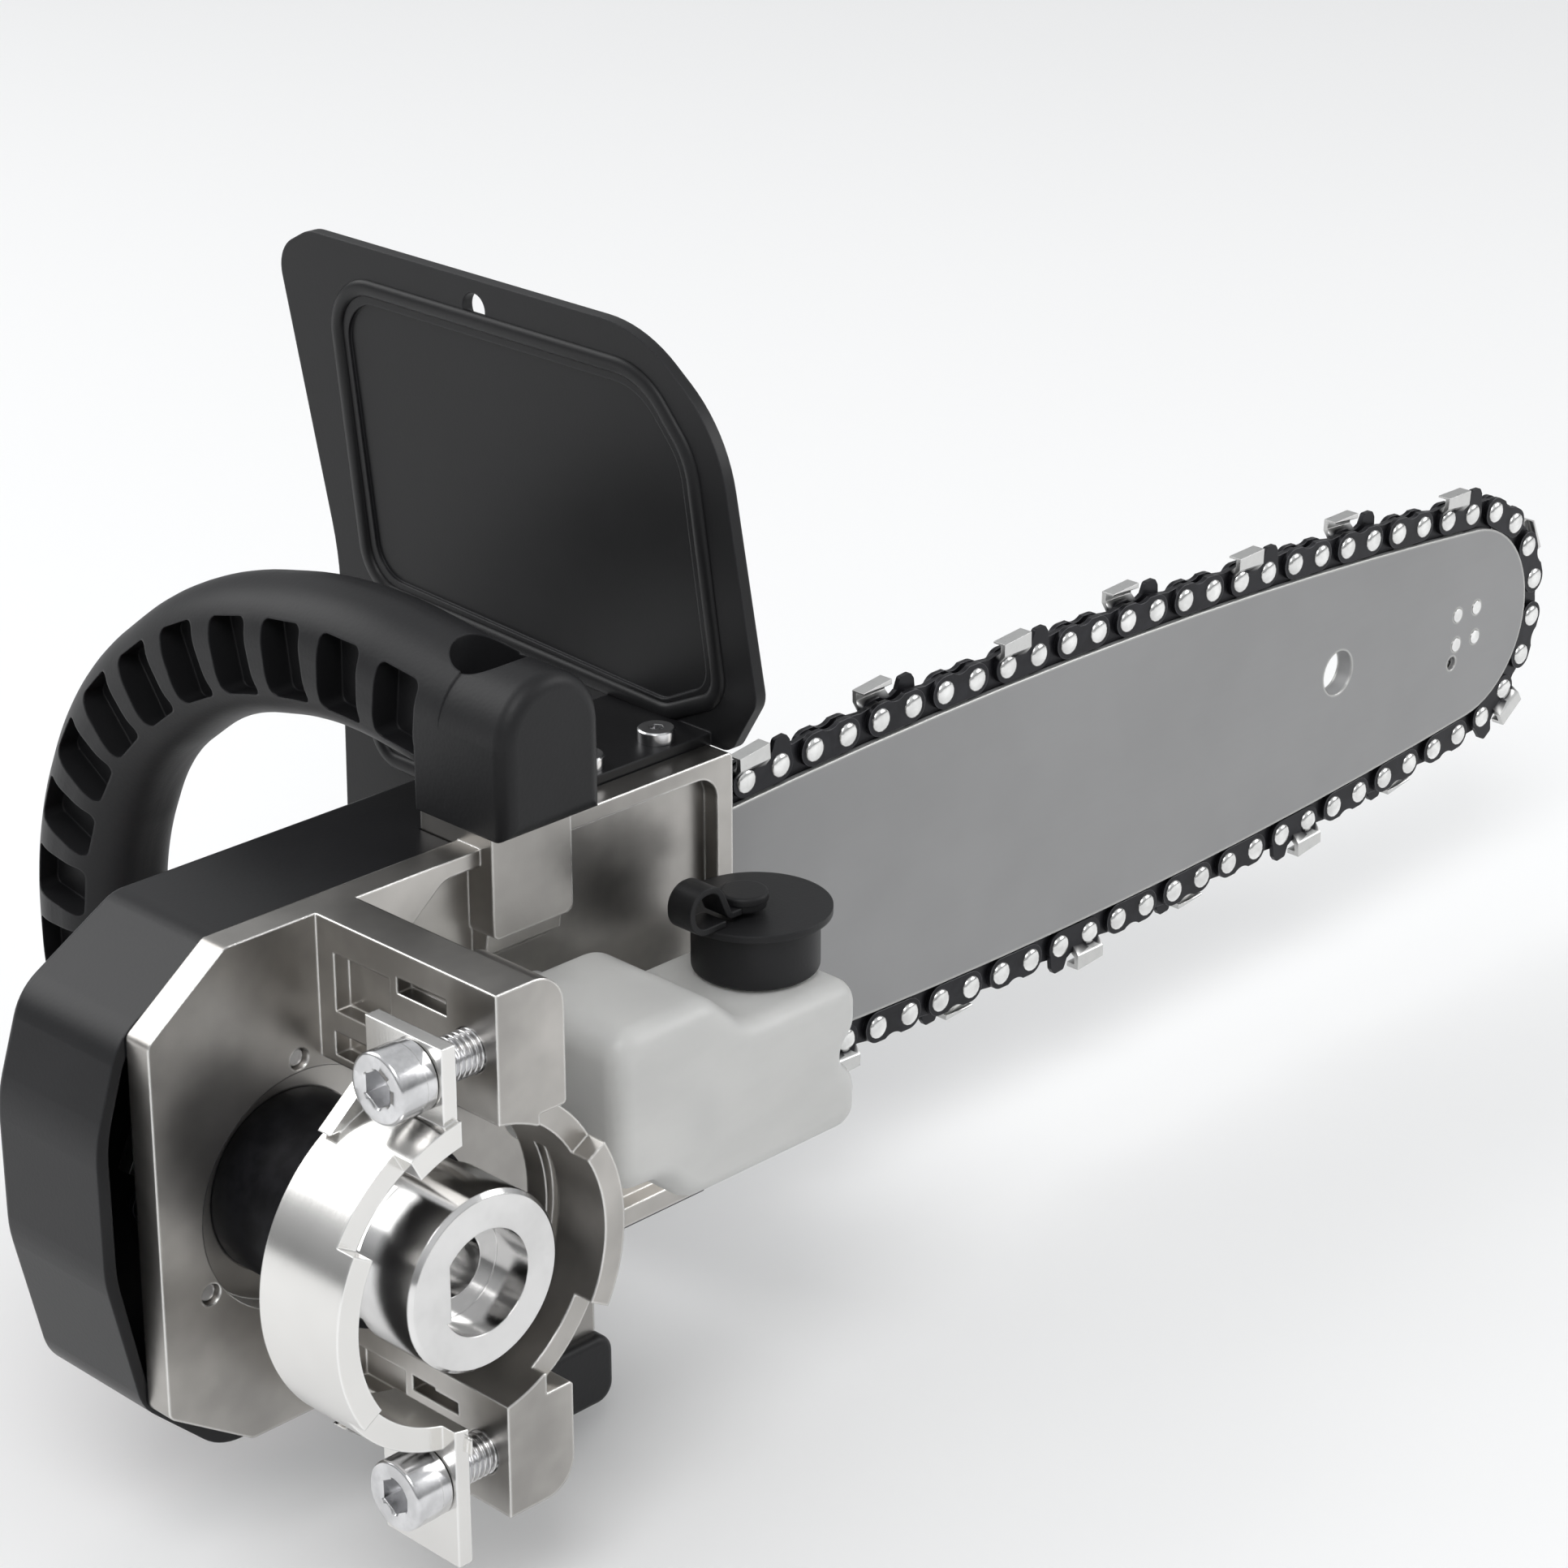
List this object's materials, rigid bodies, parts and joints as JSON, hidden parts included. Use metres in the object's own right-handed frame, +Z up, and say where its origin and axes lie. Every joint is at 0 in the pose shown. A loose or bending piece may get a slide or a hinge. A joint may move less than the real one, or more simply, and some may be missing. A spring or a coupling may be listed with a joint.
{
  "type": "chainsaw attachment",
  "caption": "Chainsaw attachment for an angle grinder, with clamp ring, guide bar and chain, wrap handle, hand guard and oil tank.",
  "frame": {"origin": "on the drive axis, half way along the clamp ring", "axes": "+X along the guide bar to its tip, +Y from the grinder to the sprocket cover, +Z up, towards the guard"},
  "size_m": [0.4378, 0.1878, 0.2003],
  "materials": {
    "cast_aluminium": "bead-blasted casting, bright on its machined faces",
    "clamp_aluminium": "polished",
    "cover_plastic": "moulded, satin black",
    "handle_plastic": "fine grained black",
    "guard_plastic": "satin black",
    "tank_plastic": "milky translucent",
    "cap_plastic": "black",
    "knob_plastic": "orange",
    "screw_steel": "bright zinc",
    "turned_steel": "fine turned, polished",
    "zinc_steel": "bright zinc",
    "black_steel": "black oxide",
    "bar_steel": "satin grey lacquer, bare at the rails",
    "link_steel": "black oxide, oiled",
    "cutter_chrome": "plated",
    "rivet_steel": "bright, domed by riveting",
    "bearing_steel": "ground",
    "seal_rubber": "matt black",
    "brass_screw": "turned"
  },
  "bodies": {
    "frame": {"body_casting": "cast_aluminium", "bearing_housing": "black_steel", "housing_screws": "screw_steel", "front_bearing": "bearing_steel", "rear_bearing": "bearing_steel", "bearing_circlip": "black_steel", "bar_studs": "zinc_steel", "bar_nuts": "screw_steel", "bar_plate": "zinc_steel", "sprocket_cover": "cover_plastic", "handle": "handle_plastic", "handle_upper_bolt": "screw_steel", "handle_lower_bolt": "screw_steel", "hand_guard": "guard_plastic", "guard_screws": "screw_steel", "oil_tank": "tank_plastic", "tank_screws": "screw_steel", "oil_outlet": "seal_rubber"},
    "drive": {"drive_adapter": "turned_steel", "drive_shaft": "turned_steel", "chain_sprocket": "turned_steel", "sprocket_washer": "zinc_steel", "sprocket_circlip": "black_steel"},
    "bar": {"guide_bar": "bar_steel", "nose_bearing": "bearing_steel", "nose_rivets": "rivet_steel", "drive_links": "link_steel", "tie_straps": "link_steel", "cutters_left": "cutter_chrome", "cutters_right": "cutter_chrome", "chain_rivets": "rivet_steel", "tension_pin": "zinc_steel"},
    "nose_wheel": {"nose_sprocket": "turned_steel"},
    "tensioner": {"tension_cam": "zinc_steel", "tension_knob": "knob_plastic", "knob_washer": "zinc_steel", "knob_screw": "brass_screw"},
    "jaw": {"clamp_jaw": "clamp_aluminium"},
    "upper_screw": {"upper_clamp_screw": "screw_steel"},
    "lower_screw": {"lower_clamp_screw": "screw_steel"},
    "cap": {"tank_cap": "cap_plastic", "cap_seal": "seal_rubber", "cap_button": "cap_plastic", "cap_tether": "cap_plastic"}
  },
  "joints": [
    {"name": "drive_spin", "type": "hinge", "parent": "frame", "child": "drive", "pos_m": [0, 0, 0], "axis": [0, 1, 0], "continuous": true, "deforming": ["drive_links"]},
    {"name": "nose_spin", "type": "hinge", "parent": "bar", "child": "nose_wheel", "pos_m": [0.36554, 0.058, 0], "axis": [0, 1, 0], "continuous": true},
    {"name": "tension_knob_turn", "type": "hinge", "parent": "frame", "child": "tensioner", "pos_m": [0.026, 0.073, 0.006], "axis": [0, 1, 0], "range_deg": [-271, 0]},
    {"name": "bar_tension", "type": "slide", "parent": "frame", "child": "bar", "axis": [1, 0, 0], "range_m": [-0.006, 0]},
    {"name": "upper_screw_turn", "type": "hinge", "parent": "jaw", "child": "upper_screw", "pos_m": [-0.0071, -0.002, 0.0387], "axis": [1, 0, 0], "range_deg": [-1729, 577]},
    {"name": "lower_screw_turn", "type": "hinge", "parent": "jaw", "child": "lower_screw", "pos_m": [-0.0071, -0.002, -0.0387], "axis": [1, 0, 0], "range_deg": [-1729, 577]},
    {"name": "jaw_slide", "type": "slide", "parent": "frame", "child": "jaw", "axis": [1, 0, 0], "range_m": [-0.006, 0.002]},
    {"name": "cap_lift", "type": "slide", "parent": "frame", "child": "cap", "axis": [0, 0, 1], "range_m": [0, 0.02]}
  ],
  "couplings": [
    {"joint": "nose_spin", "follows": "drive_spin", "ratio": 0.66667},
    {"joint": "tension_knob_turn", "follows": "bar_tension", "rad_per_m": 785.4},
    {"joint": "upper_screw_turn", "follows": "jaw_slide", "rad_per_m": 5026.5},
    {"joint": "lower_screw_turn", "follows": "jaw_slide", "rad_per_m": 5026.5}
  ]
}
